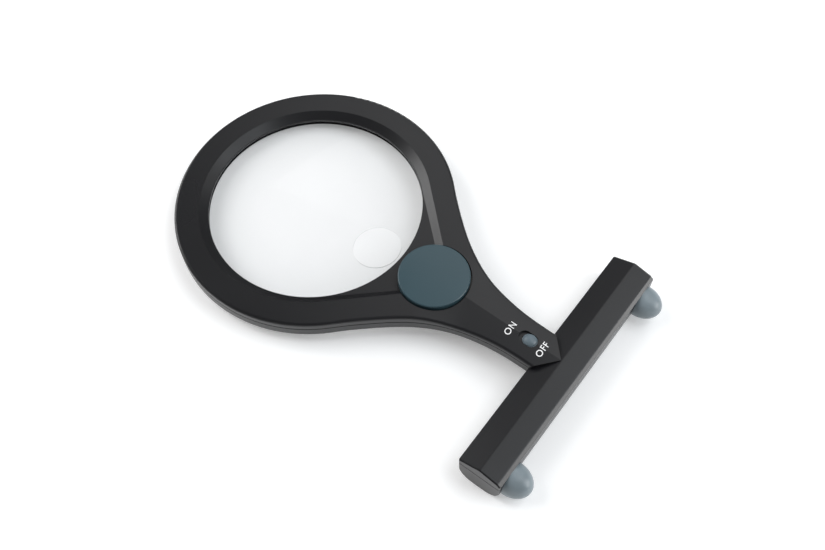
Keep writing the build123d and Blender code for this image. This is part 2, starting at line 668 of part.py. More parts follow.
# --- Feet, screws and wires -----------------------------------------------------------------------
def rubber_foot(side, bar):
    """Domed rubber foot with the stem that plugs into the crossbar."""
    axis_origin = Pos(0, side * FOOT_Y, FOOT_Z)
    root = BAR_FACE_X - 6
    nose = Pos(FOOT_NOSE_X, 0) * EllipticalCenterArc((0, 0), FOOT_TIP_X - FOOT_NOSE_X, FOOT_R, arc_size=90)
    profile = make_face(nose + Polyline((FOOT_NOSE_X, FOOT_R), (root, FOOT_R), (root, 0), (FOOT_TIP_X, 0)))
    body = axis_origin * revolve(profile, Axis.X) - bar - block((0, BAR_MID), (-SPAN, SPAN), (-DEPTH * 2, DEPTH))
    stem_low = BAR_FACE_X - 2.7
    stem = Pos((stem_low + FOOT_NOSE_X) / 2, 0, 0) * Rot(0, 90, 0) * Cylinder(STEM_R, FOOT_NOSE_X - stem_low)
    stem = axis_origin * stem
    return body + stem


def shell_screws():
    """Self-tapping screws that hold the shells together, driven from below."""
    screws = []
    for x, y, seat, tip in screw_places():
        screw = upright(HEAD_R, seat - HEAD_T, seat, x, y) + upright(SHANK_R, seat, tip, x, y)
        for length, width in ((CROSS_LENGTH, CROSS_WIDTH), (CROSS_WIDTH, CROSS_LENGTH)):
            screw = screw - Pos(x, y, seat - HEAD_T) * Box(length, width, 2 * CROSS_DEPTH)
        screws.append(screw)
    return Compound(screws)


def wire(points):
    """A thin insulated wire through the given points, with rounded bends."""
    path = FilletPolyline(*points, radius=WIRE_BEND)
    section = Plane(origin=path @ 0, z_dir=path % 0) * Circle(WIRE_R)
    return sweep(section, path=path)


def wire_routes():
    """The three wires: board to switch, board to negative contact, switch to positive contact."""
    board_x, board_z = LAMP_X + 9.9, RECESS_FLOOR
    pin_z = CAN_TOP - CAN_Z - SWITCH_BASE_T - WIRE_R - 0.05
    first_pin, last_pin = SWITCH_X - PIN_PITCH - 0.4, SWITCH_X + PIN_PITCH + 0.4
    corner_x, corner_z = WIRE_CORNER
    red = [(board_x, 2, board_z), (board_x, 2, -2.9), (100, 2, -2.9), (113, 0, pin_z + 0.3), (first_pin, 0, pin_z)]
    black = [(board_x, -2, board_z), (board_x, -2, -2.9), (98, -3.8, -2.9), (112, -3.8, -4.6),
             (124, -3.6, corner_z), (corner_x, -3.6, corner_z), (corner_x, BAY_SPRING_END + 0.1 + CONTACT_T, corner_z)]
    white = [(last_pin, 0, pin_z), (127.4, 0, corner_z), (corner_x, 3.0, corner_z), (corner_x, nub_tip_y(), corner_z)]
    return red, black, white


# --- Assembly -----------------------------------------------------------------------------------
def all_parts():
    """Every part by name, in the magnifier's own axes."""
    bar = bar_shape()
    body = head_shape() + bar
    red, black, white = wire_routes()
    return {
        "upper_shell": upper_shell(body),
        "lower_shell": lower_shell(body),
        "main_lens": main_lens(),
        "led_cap": led_cap(),
        "led_board": led_board(),
        "leds": leds(),
        "resistor": resistor(),
        "led_reflector": led_reflector(),
        "led_window": led_window(),
        "switch_knob": switch_knob(),
        "switch_wiper": switch_wiper(),
        "switch_can": switch_can(),
        "switch_base": switch_base(),
        "switch_pins": switch_pins(),
        "switch_screws": switch_screws(),
        "battery_cell_front": battery_cell(0),
        "battery_cell_back": battery_cell(1),
        "positive_contact": positive_contact(),
        "negative_contact": negative_contact(),
        "contact_spring": contact_spring(),
        "battery_door": battery_door(),
        "foot_left": rubber_foot(1, bar),
        "foot_right": rubber_foot(-1, bar),
        "cord_loop_left": cord_loop(1),
        "cord_loop_right": cord_loop(-1),
        "shell_screws": shell_screws(),
        "wire_red": wire(red),
        "wire_black": wire(black),
        "wire_white": wire(white),
    }


def resting_tilt():
    """How far, in degrees, X dips when the ring's far edge and the crossbar's crown both touch a table."""
    ring = (BOTTOM_EDGE_R - RING_R, RING_BOTTOM + BOTTOM_EDGE_R, BOTTOM_EDGE_R)
    crown = (BAR_MID, BAR_BOTTOM + CROWN_R, CROWN_R)
    across, up = crown[0] - ring[0], crown[1] - ring[1]
    return degrees(atan2(up, across) + asin((ring[2] - crown[2]) / hypot(across, up)))


def main():
    os.makedirs("parts", exist_ok=True)
    parts = all_parts()
    level = Rot(0, resting_tilt(), 0)
    turned = {name: level * shape for name, shape in parts.items()}
    box = Compound(list(turned.values())).bounding_box()
    shift = Pos(-(box.min.X + box.max.X) / 2, 0, -box.min.Z)
    for name, shape in turned.items():
        export_step(shift * shape, f"parts/{name}.step")
    print(f"tilt {resting_tilt():.4f} degrees, shift {tuple(shift.position)}")
    print(f"size {box.size}")


if __name__ == "__main__":
    main()
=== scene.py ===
"""Looks of a hands-free lighted magnifier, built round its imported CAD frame."""

import math

import bmesh
import bpy
from bpy.props import FloatProperty, FloatVectorProperty, PointerProperty
from bpy.types import Operator, Panel, PropertyGroup
from mathutils import Matrix, Vector
from mathutils.bvhtree import BVHTree


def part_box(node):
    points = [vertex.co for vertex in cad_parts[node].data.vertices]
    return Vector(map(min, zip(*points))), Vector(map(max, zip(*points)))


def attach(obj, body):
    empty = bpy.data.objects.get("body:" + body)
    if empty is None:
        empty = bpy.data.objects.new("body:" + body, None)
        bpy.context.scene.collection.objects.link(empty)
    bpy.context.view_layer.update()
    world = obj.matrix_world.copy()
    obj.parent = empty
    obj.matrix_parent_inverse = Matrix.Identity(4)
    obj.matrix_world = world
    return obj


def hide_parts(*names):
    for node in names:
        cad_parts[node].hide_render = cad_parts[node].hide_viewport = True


bl_info = {
    "name": "Lighted Magnifier",
    "version": (1, 0, 0),
    "blender": (4, 5, 0),
    "location": "View3D > Sidebar > Magnifier",
    "description": "Finishes the pieces of a hands-free lighted magnifier round its CAD frame",
    "category": "Object",
}

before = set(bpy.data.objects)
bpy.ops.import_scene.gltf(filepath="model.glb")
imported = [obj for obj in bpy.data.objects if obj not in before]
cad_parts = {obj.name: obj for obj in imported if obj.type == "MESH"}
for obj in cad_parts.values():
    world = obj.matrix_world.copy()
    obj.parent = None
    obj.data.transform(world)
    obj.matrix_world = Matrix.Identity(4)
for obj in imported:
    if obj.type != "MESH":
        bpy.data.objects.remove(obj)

# The magnifier's own axes: the optical axis is Z, X runs from the lens centre to the crossbar.
LENS_CENTRE = Vector((-0.0463373, 0.0, 0.0104036))
RESTING_TILT = math.radians(-3.5232)
OWN_AXES = Matrix.Translation(LENS_CENTRE) @ Matrix.Rotation(RESTING_TILT, 4, "Y")
MM = 0.001
MESH_WELD = 1e-7

# The lens and its stronger spot
LENS_BEND = 1.3              # how strongly the lens bends light
LENS_HAZE = 0.035            # roughness of the lens's faces
LENS_SHADE_STARTS = 0.5       # share of the clear radius where the shade painted into the rim's colour begins
RIM_HEIGHT = -0.00185        # middle of the lens rim, in the magnifier's own axes
SPOT_RIM = 0.0012            # thickness of the spot's disc, sunk in the lens
SPOT_SINK = 0.00005          # the spot's flat rim lies this far inside the lens face at the spot's middle
SPOT_TELL = 0.00002          # a face this far under the lens's own lower face belongs to the spot
POLE_WELD = 1e-6
POLE_SHARE = 0.48            # share of the lens grid that lies between a pole and the rim
LENS_GRID = {"Steps": 60, "Turns": 160}
SPOT_GRID = {"Steps": 30, "Turns": 96}

# The printed marks, in the font's own units until they are scaled
LETTER_SPACING = 1.1
LETTER_WEIGHT = 0.003        # how far the strokes are fattened
CURVE_STEPS = 6
STRAIGHT_EDGE = 0.1          # longer edges are cut, so that the letters follow the neck
STRAIGHT_CUTS = 3
LETTER_WELD = 1e-5
FILM_PROUD = 0.5             # share of the ink film's measure that stands off the shell
FILM_DEPTH = 1.5             # depth of the closed film, in the same measure

# The shell screws, in millimetres in the magnifier's own axes
RING_SCREW_TURNS = (105, 180, 255)
RING_SCREW_RADIUS = 60.4
NECK_SCREW = (91.0, 9.6)
BAR_SCREW = (138.6, 57.4)
SHALLOW_SEAT, DEEP_SEAT = -4.7, -13.0
RING_SHANK, NECK_SHANK, BAR_SHANK = 5.9, 5.1, 9.4

# The screws' shape
CROWN_SHARE = 0.35           # share of the head's height that narrows towards its face
FACE_SHARE = 0.78            # the face's radius as a share of the head's
TIP_SHARE = 0.55             # the tip's radius as a share of the shank's
HEAD_SIDES, SHANK_SIDES = 40, 24

# The stage, in metres, and the camera's sensor, in millimetres
TABLE_HALF = 12.0
NEAREST, FARTHEST = 0.01, 20.0
SENSOR_WIDTH = 36.0
STARTUP_OBJECTS = ("Cube", "Light", "Camera")


def colour_setting(name, description, default):
    """A colour that a user can change."""
    return FloatVectorProperty(name=name, description=description, subtype="COLOR", size=3, min=0, max=1,
                               default=default)


def length_setting(name, description, default):
    """A size in metres that a user can change."""
    return FloatProperty(name=name, description=description, default=default, unit="LENGTH")


def share_setting(name, description, default):
    """A share from 0 to 1 that a user can change."""
    return FloatProperty(name=name, description=description, subtype="FACTOR", min=0, max=1, default=default)


def power_setting(name, description, default):
    """A lamp's power that a user can change."""
    return FloatProperty(name=name, description=description, subtype="POWER", default=default, min=0)


def set_inputs(node, **values):
    """Set a shader's own sockets; an underscore stands for a space in a socket's name."""
    for name, value in values.items():
        node.inputs[name.replace("_", " ")].default_value = value


# --- Mesh helpers -------------------------------------------------------------------------------
def link_object(name, data):
    """Put new data into the scene as an object."""
    made = bpy.data.objects.new(name, data)
    bpy.context.scene.collection.objects.link(made)
    return made


def add_piece(name, mesh, body):
    """Add a finished mesh as a piece that rides on a body."""
    piece = link_object(name, mesh)
    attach(piece, body)
    return piece


def paint(mesh, *materials):
    """Give a mesh these materials and no others."""
    mesh.materials.clear()
    for material in materials:
        mesh.materials.append(material)


def evaluated_mesh(piece):
    """The piece's mesh with its modifiers applied."""
    graph = bpy.context.evaluated_depsgraph_get()
    graph.update()
    return bpy.data.meshes.new_from_object(piece.evaluated_get(graph), depsgraph=graph)


def tidy_normals(mesh, sharp_angle):
    """Point faces outwards, shade smooth and mark edges past an angle as sharp."""
    work = bmesh.new()
    work.from_mesh(mesh)
    bmesh.ops.remove_doubles(work, verts=work.verts, dist=MESH_WELD)
    bmesh.ops.recalc_face_normals(work, faces=work.faces)
    work.to_mesh(mesh)
    work.free()
    mesh.shade_smooth()
    mesh.set_sharp_from_angle(angle=sharp_angle)


class Tree:
    """A geometry node tree with named inputs, and short calls for its nodes."""

    def __init__(self, name):
        self.group = bpy.data.node_groups.new(name, "GeometryNodeTree")
        self.group.is_modifier = True
        self.group.interface.new_socket("Geometry", in_out="INPUT", socket_type="NodeSocketGeometry")
        self.group.interface.new_socket("Geometry", in_out="OUTPUT", socket_type="NodeSocketGeometry")
        self.start = self.group.nodes.new("NodeGroupInput")
        self.end = self.group.nodes.new("NodeGroupOutput")

    def size(self, name, default, kind="NodeSocketFloat"):
        """Add a named input and return its output inside the tree."""
        self.group.interface.new_socket(name, in_out="INPUT", socket_type=kind).default_value = default
        return self.start.outputs[name]

    def node(self, kind, settings=None, **inputs):
        """Add a node; inputs are values or outputs by socket name, or by place as _0, _1."""
        made = self.group.nodes.new(kind)
        for name, value in (settings or {}).items():
            setattr(made, name, value)
        for name, value in inputs.items():
            socket = made.inputs[int(name[1:])] if name[0] == "_" else made.inputs[name.replace("_", " ")]
            if isinstance(value, bpy.types.NodeSocket):
                self.group.links.new(value, socket)
            else:
                socket.default_value = value
        return made

    def math(self, operation, *values):
        """One arithmetic step."""
        named = {f"_{place}": value for place, value in enumerate(values)}
        return self.node("ShaderNodeMath", {"operation": operation}, **named).outputs[0]

    def finish(self, geometry, material):
        """End the tree in Realize Instances and Set Material."""
        real = self.node("GeometryNodeRealizeInstances", Geometry=geometry)
        painted = self.node("GeometryNodeSetMaterial", Geometry=real.outputs[0])
        painted.inputs["Material"].default_value = material
        self.group.links.new(painted.outputs[0], self.end.inputs[0])


def raised(tree, geometry, height):
    """Geometry moved along Z by a height that the tree works out."""
    offset = tree.node("ShaderNodeCombineXYZ", Z=height)
    return tree.node("GeometryNodeTransform", Geometry=geometry, Translation=offset.outputs[0]).outputs[0]


def grow(tree, base_mesh, **sizes):
    """Run a tree over a mesh with the given sizes, and return the plain mesh."""
    holder = link_object("growing", base_mesh)
    modifier = holder.modifiers.new("grow", "NODES")
    modifier.node_group = tree.group
    for item in tree.group.interface.items_tree:
        key = item.name.replace(" ", "_")
        if item.in_out == "INPUT" and key in sizes:
            modifier[item.identifier] = sizes[key]
    mesh = evaluated_mesh(holder)
    holder.modifiers.clear()
    bpy.data.objects.remove(holder)
    return mesh


def unite(first, second):
    """The union of two closed meshes."""
    parts = [link_object("part", mesh) for mesh in (first, second)]
    joined = parts[0].modifiers.new("join", "BOOLEAN")
    joined.operation, joined.solver, joined.object = "UNION", "EXACT", parts[1]
    mesh = evaluated_mesh(parts[0])
    parts[0].modifiers.clear()
    for part in parts:
        bpy.data.objects.remove(part)
    return mesh


def thickened(mesh, thickness):
    """The mesh with a closed wall under its faces."""
    holder = link_object("film", mesh)
    wall = holder.modifiers.new("film", "SOLIDIFY")
    wall.thickness, wall.offset = thickness, -1
    film = evaluated_mesh(holder)
    holder.modifiers.clear()
    bpy.data.objects.remove(holder)
    return film


# --- Materials ----------------------------------------------------------------------------------
class Finish:
    """A material's node tree, with short calls for the nodes that these finishes share."""

    def __init__(self, name):
        self.material = bpy.data.materials.new(name)
        self.material.use_nodes = True
        self.nodes = self.material.node_tree.nodes
        self.links = self.material.node_tree.links
        self.shader = self.nodes["Principled BSDF"]
        self.coordinates = self.nodes.new("ShaderNodeTexCoord")

    def noise(self, scale, detail=3.0, roughness=0.5):
        """Noise on the object's own coordinates; returns its factor."""
        texture = self.nodes.new("ShaderNodeTexNoise")
        set_inputs(texture, Scale=scale, Detail=detail, Roughness=roughness)
        self.links.new(self.coordinates.outputs["Object"], texture.inputs["Vector"])
        return texture.outputs["Fac"]

    def spread(self, factor, low, high, start=0.3, end=0.7):
        """Turn a 0 to 1 factor into numbers between low and high."""
        span = self.nodes.new("ShaderNodeMapRange")
        set_inputs(span, From_Min=start, From_Max=end, To_Min=low, To_Max=high)
        self.links.new(factor, span.inputs["Value"])
        return span.outputs["Result"]

    def blend(self, factor, first, second):
        """Mix two colours by a factor."""
        mix = self.nodes.new("ShaderNodeMixRGB")
        mix.inputs["Color1"].default_value = (*first, 1)
        mix.inputs["Color2"].default_value = (*second, 1)
        self.links.new(factor, mix.inputs["Fac"])
        return mix.outputs["Color"]

    def bump(self, height, strength, distance):
        """Feed a height into the shader's normal."""
        node = self.nodes.new("ShaderNodeBump")
        set_inputs(node, Strength=strength, Distance=distance)
        self.links.new(height, node.inputs["Height"])
        self.links.new(node.outputs["Normal"], self.shader.inputs["Normal"])

    def feed(self, output, name):
        """Link an output into one of the shader's sockets."""
        self.links.new(output, self.shader.inputs[name])


def moulded_plastic(name, colour, roughness, handled=0.03, grain=0.00002):
    """Injection-moulded plastic: an even colour, faint flow marks and a little handling gloss."""
    finish = Finish(name)
    lift = tuple(min(1.0, c * 1.12 + 0.0005) for c in colour)
    finish.feed(finish.blend(finish.spread(finish.noise(22.0, 3.0), 0, 1), colour, lift), "Base Color")
    finish.feed(finish.spread(finish.noise(14.0, 2.0), roughness - handled, roughness + handled), "Roughness")
    finish.bump(finish.noise(2600.0, 2.0), 0.06, grain)
    set_inputs(finish.shader, IOR=1.5)
    return finish.material


def soft_rubber(name, colour):
    """Smooth moulded rubber with a fine dusty tooth."""
    finish = Finish(name)
    paler = tuple(c * 1.35 for c in colour)
    finish.feed(finish.blend(finish.spread(finish.noise(90.0, 4.0), 0, 1), colour, paler), "Base Color")
    finish.feed(finish.spread(finish.noise(140.0, 4.0), 0.3, 0.42), "Roughness")
    finish.bump(finish.noise(1800.0, 3.0), 0.25, 0.00003)
    return finish.material


def clear_finish(name, tint, roughness, bend):
    """Clear plastic that also lets the lamps' light through to what lies behind it."""
    finish = Finish(name)
    set_inputs(finish.shader, Base_Color=(*tint, 1), Roughness=roughness, IOR=bend, Transmission_Weight=1.0)
    clear = finish.nodes.new("ShaderNodeBsdfTransparent")
    clear.inputs["Color"].default_value = (0.98, 0.98, 0.98, 1)
    mix = finish.nodes.new("ShaderNodeMixShader")
    path = finish.nodes.new("ShaderNodeLightPath")
    finish.links.new(path.outputs["Is Shadow Ray"], mix.inputs["Fac"])
    finish.links.new(finish.shader.outputs["BSDF"], mix.inputs[1])
    finish.links.new(clear.outputs["BSDF"], mix.inputs[2])
    finish.links.new(mix.outputs["Shader"], finish.nodes["Material Output"].inputs["Surface"])
    return finish


def lens_plastic(name, middle_tint, rim_shade, clear_radius):
    """Clear lens plastic with painted shade: its colour darkens from the middle tint towards the rim."""
    finish = clear_finish(name, middle_tint, LENS_HAZE, LENS_BEND)
    from_centre = finish.nodes.new("ShaderNodeVectorMath")
    from_centre.operation = "DISTANCE"
    from_centre.inputs[1].default_value = LENS_CENTRE
    finish.links.new(finish.coordinates.outputs["Object"], from_centre.inputs[0])
    # painted shade: the lens's colour darkens with distance from the lens centre, out to the darker colour at
    # the rim
    reach = finish.spread(from_centre.outputs["Value"], 0, 1, clear_radius * LENS_SHADE_STARTS, clear_radius)
    finish.feed(finish.blend(reach, middle_tint, rim_shade), "Base Color")
    return finish.material


def metal(name, colour, roughness):
    """Plated or stamped metal with a fine mottle."""
    finish = Finish(name)
    darker = tuple(c * 0.8 for c in colour)
    stain = finish.spread(finish.noise(300.0, 4.0, 0.6), 0, 1)
    finish.feed(finish.blend(stain, darker, colour), "Base Color")
    worn = finish.spread(finish.noise(500.0, 4.0, 0.6), roughness - 0.08, roughness + 0.08)
    finish.feed(worn, "Roughness")
    set_inputs(finish.shader, Metallic=1.0)
    return finish.material


class MagnifierFinishes(PropertyGroup):
    """Colours of the visible pieces"""
    shell: colour_setting("Shell", "Colour of the moulded shells", (0.0078, 0.0079, 0.0092))
    cap: colour_setting("Lamp cap", "Colour of the lamp cap", (0.031, 0.062, 0.076))
    rubber: colour_setting("Feet", "Colour of the rubber feet", (0.17, 0.205, 0.225))
    knob: colour_setting("Knob", "Colour of the switch knob", (0.105, 0.138, 0.16))
    lens_tint: colour_setting("Lens", "Tint of the lens", (0.82, 0.82, 0.82))
    # painted shade: this colour at the lens's rim stands in for the shade seen through the rim
    lens_rim_shade: colour_setting("Lens rim", "Tint of the lens at its rim", (0.78, 0.785, 0.785))
    spot_tint: colour_setting("Lens spot", "Tint of the stronger spot", (0.9, 0.9, 0.9))
    ink: colour_setting("Switch marks", "Colour of the printed switch marks", (0.92, 0.92, 0.92))
    shell_roughness: share_setting("Shell roughness", "Roughness of the moulded shells", 0.3)


def dress(node, material):
    """Give a CAD node one material on all its faces."""
    paint(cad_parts[node].data, material)


class MAGNIFIER_OT_shells(Operator):
    """Finish the upper and lower shells, the battery door and the cord loops"""
    bl_idname = "magnifier.shells"
    bl_label = "Shells"

    def execute(self, context):
        finishes = context.scene.magnifier_finishes
        black = moulded_plastic("moulded_black", finishes.shell, finishes.shell_roughness)
        for node in ("upper_shell", "lower_shell", "battery_door", "cord_loop_left", "cord_loop_right"):
            dress(node, black)
        return {"FINISHED"}


class MagnifierLens(PropertyGroup):
    """Sizes of the lens and its spot"""
    radius: length_setting("Radius", "Outer radius of the lens rim", 0.0525)
    clear_radius: length_setting("Clear radius", "Radius of the curved faces", 0.0509)
    rim: length_setting("Rim thickness", "Thickness of the rim in its groove", 0.0024)
    upper_sag: length_setting("Upper sag", "How far the upper face bulges", 0.0034)
    lower_sag: length_setting("Lower sag", "How far the lower face bulges", 0.0046)
    spot_radius: length_setting("Spot radius", "Radius of the stronger spot", 0.0114)
    spot_sag: length_setting("Spot sag", "How far the spot bulges", 0.0013)
    spot_from_centre: length_setting("Spot offset", "From the lens centre to the spot's centre", 0.037)


def lens_tree(material):
    """A biconvex lens: a grid wound round the axis, its height set by the sag of each face."""
    tree = Tree("lens_of_revolution")
    radius, clear = tree.size("Radius", 0.05), tree.size("Clear Radius", 0.05)
    rim, upper, lower = tree.size("Rim", 0.002), tree.size("Upper Sag", 0.003), tree.size("Lower Sag", 0.003)
    steps, turns = tree.size("Steps", 48, "NodeSocketInt"), tree.size("Turns", 128, "NodeSocketInt")
    grid = tree.node("GeometryNodeMeshGrid", Size_X=1.0, Size_Y=1.0, Vertices_X=steps, Vertices_Y=turns)
    place = tree.node("ShaderNodeSeparateXYZ", Vector=tree.node("GeometryNodeInputPosition").outputs[0])
    along = tree.math("ADD", place.outputs["X"], 0.5)
    turn = tree.math("MULTIPLY", place.outputs["Y"], 2 * math.pi)
    from_pole = tree.math("MINIMUM", along, tree.math("SUBTRACT", 1.0, along))
    reach = tree.math("MINIMUM", tree.math("DIVIDE", from_pole, POLE_SHARE), 1.0)
    out = tree.math("MULTIPLY", radius, reach)
    share = tree.math("DIVIDE", out, clear)
    crown = tree.math("MAXIMUM", tree.math("SUBTRACT", 1.0, tree.math("MULTIPLY", share, share)), 0.0)
    half_rim = tree.math("MULTIPLY", rim, 0.5)
    top = tree.math("MULTIPLY_ADD", upper, crown, half_rim)
    bottom = tree.math("MULTIPLY", tree.math("MULTIPLY_ADD", lower, crown, half_rim), -1.0)
    is_bottom = tree.math("GREATER_THAN", along, 0.5)
    height = tree.math("MULTIPLY_ADD", is_bottom, tree.math("SUBTRACT", bottom, top), top)
    wound = tree.node("ShaderNodeCombineXYZ", X=tree.math("MULTIPLY", out, tree.math("COSINE", turn)),
                      Y=tree.math("MULTIPLY", out, tree.math("SINE", turn)), Z=height)
    set_place = tree.node("GeometryNodeSetPosition", Geometry=grid.outputs["Mesh"], Position=wound.outputs[0])
    closed = tree.node("GeometryNodeMergeByDistance", Geometry=set_place.outputs[0], Distance=POLE_WELD)
    tree.finish(closed.outputs[0], material)
    return tree


def spot_place(lens):
    """Where the spot's disc stands: leaning with the lens's lower face, and sunk a little into it."""
    curve_radius = (lens.clear_radius ** 2 + lens.lower_sag ** 2) / (2 * lens.lower_sag)
    lowest = RIM_HEIGHT - lens.rim / 2 - lens.lower_sag
    lean = math.asin(lens.spot_from_centre / curve_radius)
    into_face = SPOT_RIM / 2 + SPOT_SINK
    return (Matrix.Translation((0, 0, lowest + curve_radius)) @ Matrix.Rotation(-lean, 4, "Y")
            @ Matrix.Translation((0, 0, into_face - curve_radius)))


def on_spot(lens, point):
    """Whether a point stands off the lens's lower face, within the spot."""
    share = math.hypot(point.x, point.y) / lens.clear_radius
    face_height = RIM_HEIGHT - lens.rim / 2 - lens.lower_sag * (1 - share * share)
    off_face = point.z < face_height - SPOT_TELL
    return off_face and math.hypot(point.x - lens.spot_from_centre, point.y) < lens.spot_radius


class MAGNIFIER_OT_lens(Operator):
    """Make the main lens with its stronger spot"""
    bl_idname = "magnifier.lens"
    bl_label = "Lens"

    def execute(self, context):
        lens = context.scene.magnifier_lens
        finishes = context.scene.magnifier_finishes
        # the lens's colour darkens towards the rim as painted shade
        clear = lens_plastic("lens_clear", finishes.lens_tint, finishes.lens_rim_shade, lens.clear_radius)
        spot_clear = clear_finish("lens_spot_clear", finishes.spot_tint, LENS_HAZE, LENS_BEND).material
        tree = lens_tree(clear)
        body = grow(tree, bpy.data.meshes.new("lens_base"), Radius=lens.radius, Rim=lens.rim,
                    Clear_Radius=lens.clear_radius, Upper_Sag=lens.upper_sag, Lower_Sag=lens.lower_sag,
                    **LENS_GRID)
        body.transform(Matrix.Translation((0, 0, RIM_HEIGHT)))
        spot = grow(tree, bpy.data.meshes.new("spot_base"), Radius=lens.spot_radius,
                    Clear_Radius=lens.spot_radius, Rim=SPOT_RIM, Upper_Sag=0.0, Lower_Sag=lens.spot_sag,
                    **SPOT_GRID)
        spot.transform(spot_place(lens))
        mesh = unite(body, spot)
        mesh.name = "magnifier_lens"
        paint(mesh, clear, spot_clear)
        for face in mesh.polygons:
            face.material_index = 1 if on_spot(lens, face.center) else 0
        mesh.transform(OWN_AXES)
        tidy_normals(mesh, sharp_angle=math.radians(25))
        piece = add_piece("lens", mesh, "frame")
        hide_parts("main_lens")
        return {"FINISHED"}


class MAGNIFIER_OT_lamp(Operator):
    """Finish the lamp head"""
    bl_idname = "magnifier.lamp"
    bl_label = "Lamp head"

    def execute(self, context):
        finishes = context.scene.magnifier_finishes
        dress("led_cap", moulded_plastic("cap_blue_grey", finishes.cap, 0.32))
        dress("led_window", clear_finish("window_clear", (0.98, 0.99, 0.99), 0.02, 1.49).material)
        dress("leds", clear_finish("led_epoxy", (0.97, 0.97, 0.93), 0.05, 1.5).material)
        dress("led_reflector", metal("reflector_plating", (0.85, 0.86, 0.87), 0.16))
        dress("led_board", moulded_plastic("board_lacquer", (0.02, 0.14, 0.05), 0.35))
        dress("resistor", moulded_plastic("resistor_lacquer", (0.5, 0.36, 0.2), 0.4))
        return {"FINISHED"}


class MAGNIFIER_OT_switch(Operator):
    """Finish the slide switch"""
    bl_idname = "magnifier.switch"
    bl_label = "Switch"

    def execute(self, context):
        finishes = context.scene.magnifier_finishes
        dress("switch_knob", moulded_plastic("knob_grey", finishes.knob, 0.4))
        steel = metal("switch_steel", (0.62, 0.62, 0.6), 0.3)
        brass = metal("contact_brass", (0.72, 0.5, 0.24), 0.28)
        for node in ("switch_can", "switch_screws"):
            dress(node, steel)
        for node in ("switch_wiper", "switch_pins"):
            dress(node, brass)
        dress("switch_base", moulded_plastic("phenolic", (0.2, 0.1, 0.045), 0.5))
        return {"FINISHED"}


class MagnifierMarks(PropertyGroup):
    """Sizes and places of the marks beside the switch"""
    height: length_setting("Letter height", "Height of the capitals beside the switch", 0.003)
    on_from_lens: length_setting("ON place", "From the lens centre to the middle of the ON mark", 0.1122)
    off_from_lens: length_setting("OFF place", "From the lens centre to the middle of the OFF mark", 0.1290)
    aside: length_setting("Aside", "How far the marks sit off the neck's middle line", 0.0006)
    film: length_setting("Ink film", "Measure of the printed ink; half of it stands off the shell", 0.00005)


def flat_word(word):
    """A word as a flat mesh, cut finely enough to bend over the neck."""
    curve = bpy.data.curves.new(word, "FONT")
    curve.body, curve.align_x, curve.align_y = word, "CENTER", "CENTER"
    curve.space_character, curve.offset, curve.resolution_u = LETTER_SPACING, LETTER_WEIGHT, CURVE_STEPS
    holder = link_object(word, curve)
    mesh = evaluated_mesh(holder)
    bpy.data.objects.remove(holder)
    work = bmesh.new()
    work.from_mesh(mesh)
    bmesh.ops.remove_doubles(work, verts=work.verts, dist=LETTER_WELD)
    bmesh.ops.triangulate(work, faces=work.faces)
    long_edges = [edge for edge in work.edges if edge.calc_length() > STRAIGHT_EDGE]
    bmesh.ops.subdivide_edges(work, edges=long_edges, cuts=STRAIGHT_CUTS)
    bmesh.ops.triangulate(work, faces=work.faces)
    work.to_mesh(mesh)
    work.free()
    return mesh


def printed_word(word, from_lens, marks, surface, ink):
    """A printed word that lies on the neck, read across it, as a thin closed film."""
    mesh = flat_word(word)
    work = bmesh.new()
    work.from_mesh(mesh)
    rows = [vert.co.y for vert in work.verts]
    middle = (max(rows) + min(rows)) / 2
    scale = marks.height / (max(rows) - min(rows))
    above = 20 * MM
    down = OWN_AXES.to_3x3() @ Vector((0, 0, -1))
    for vert in work.verts:
        across, up = vert.co.x * scale, (vert.co.y - middle) * scale
        start = OWN_AXES @ Vector((from_lens - up, across - marks.aside, above))
        hit, normal = surface.ray_cast(start, down)[:2]
        if hit is None:
            raise RuntimeError(f"the mark {word} misses the neck")
        vert.co = hit + normal * marks.film * FILM_PROUD
    bmesh.ops.recalc_face_normals(work, faces=work.faces)
    for face in work.faces:
        if face.normal.dot(down) > 0:
            face.normal_flip()
    work.to_mesh(mesh)
    work.free()
    film = thickened(mesh, marks.film * FILM_DEPTH)
    paint(film, ink)
    piece = add_piece("mark_" + word.lower(), film, "frame")


class MAGNIFIER_OT_marks(Operator):
    """Print the ON and OFF marks beside the switch"""
    bl_idname = "magnifier.marks"
    bl_label = "Switch marks"

    def execute(self, context):
        marks = context.scene.magnifier_marks
        ink = moulded_plastic("mark_ink", context.scene.magnifier_finishes.ink, 0.5)
        shell = bmesh.new()
        shell.from_mesh(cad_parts["upper_shell"].data)
        surface = BVHTree.FromBMesh(shell)
        shell.free()
        printed_word("ON", marks.on_from_lens, marks, surface, ink)
        printed_word("OFF", marks.off_from_lens, marks, surface, ink)
        return {"FINISHED"}


class MagnifierCells(PropertyGroup):
    """Colours of the cells' sleeves"""
    body: colour_setting("Cell body", "Colour of the cells' sleeves", (0.02, 0.045, 0.1))
    band: colour_setting("Cell band", "Colour of the band at one end", (0.62, 0.4, 0.16))
    band_share: share_setting("Band share", "Share of the cell's length that the band takes", 0.28)


def cell_sleeve(name, node, dark, bright, band):
    """The printed sleeve of a cell: a dark body with a bright band at one end."""
    finish = Finish(name)
    low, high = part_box(node)
    split = finish.nodes.new("ShaderNodeSeparateXYZ")
    finish.links.new(finish.coordinates.outputs["Object"], split.inputs["Vector"])
    edge = high[1] - (high[1] - low[1]) * band
    reach = finish.spread(split.outputs["Y"], 0, 1, edge, edge + 0.2 * MM)
    finish.feed(finish.blend(reach, dark, bright), "Base Color")
    finish.feed(finish.spread(finish.noise(40.0, 3.0), 0.22, 0.34), "Roughness")
    finish.bump(finish.noise(500.0, 2.0), 0.05, 0.00002)
    set_inputs(finish.shader, Metallic=0.55)
    return finish.material


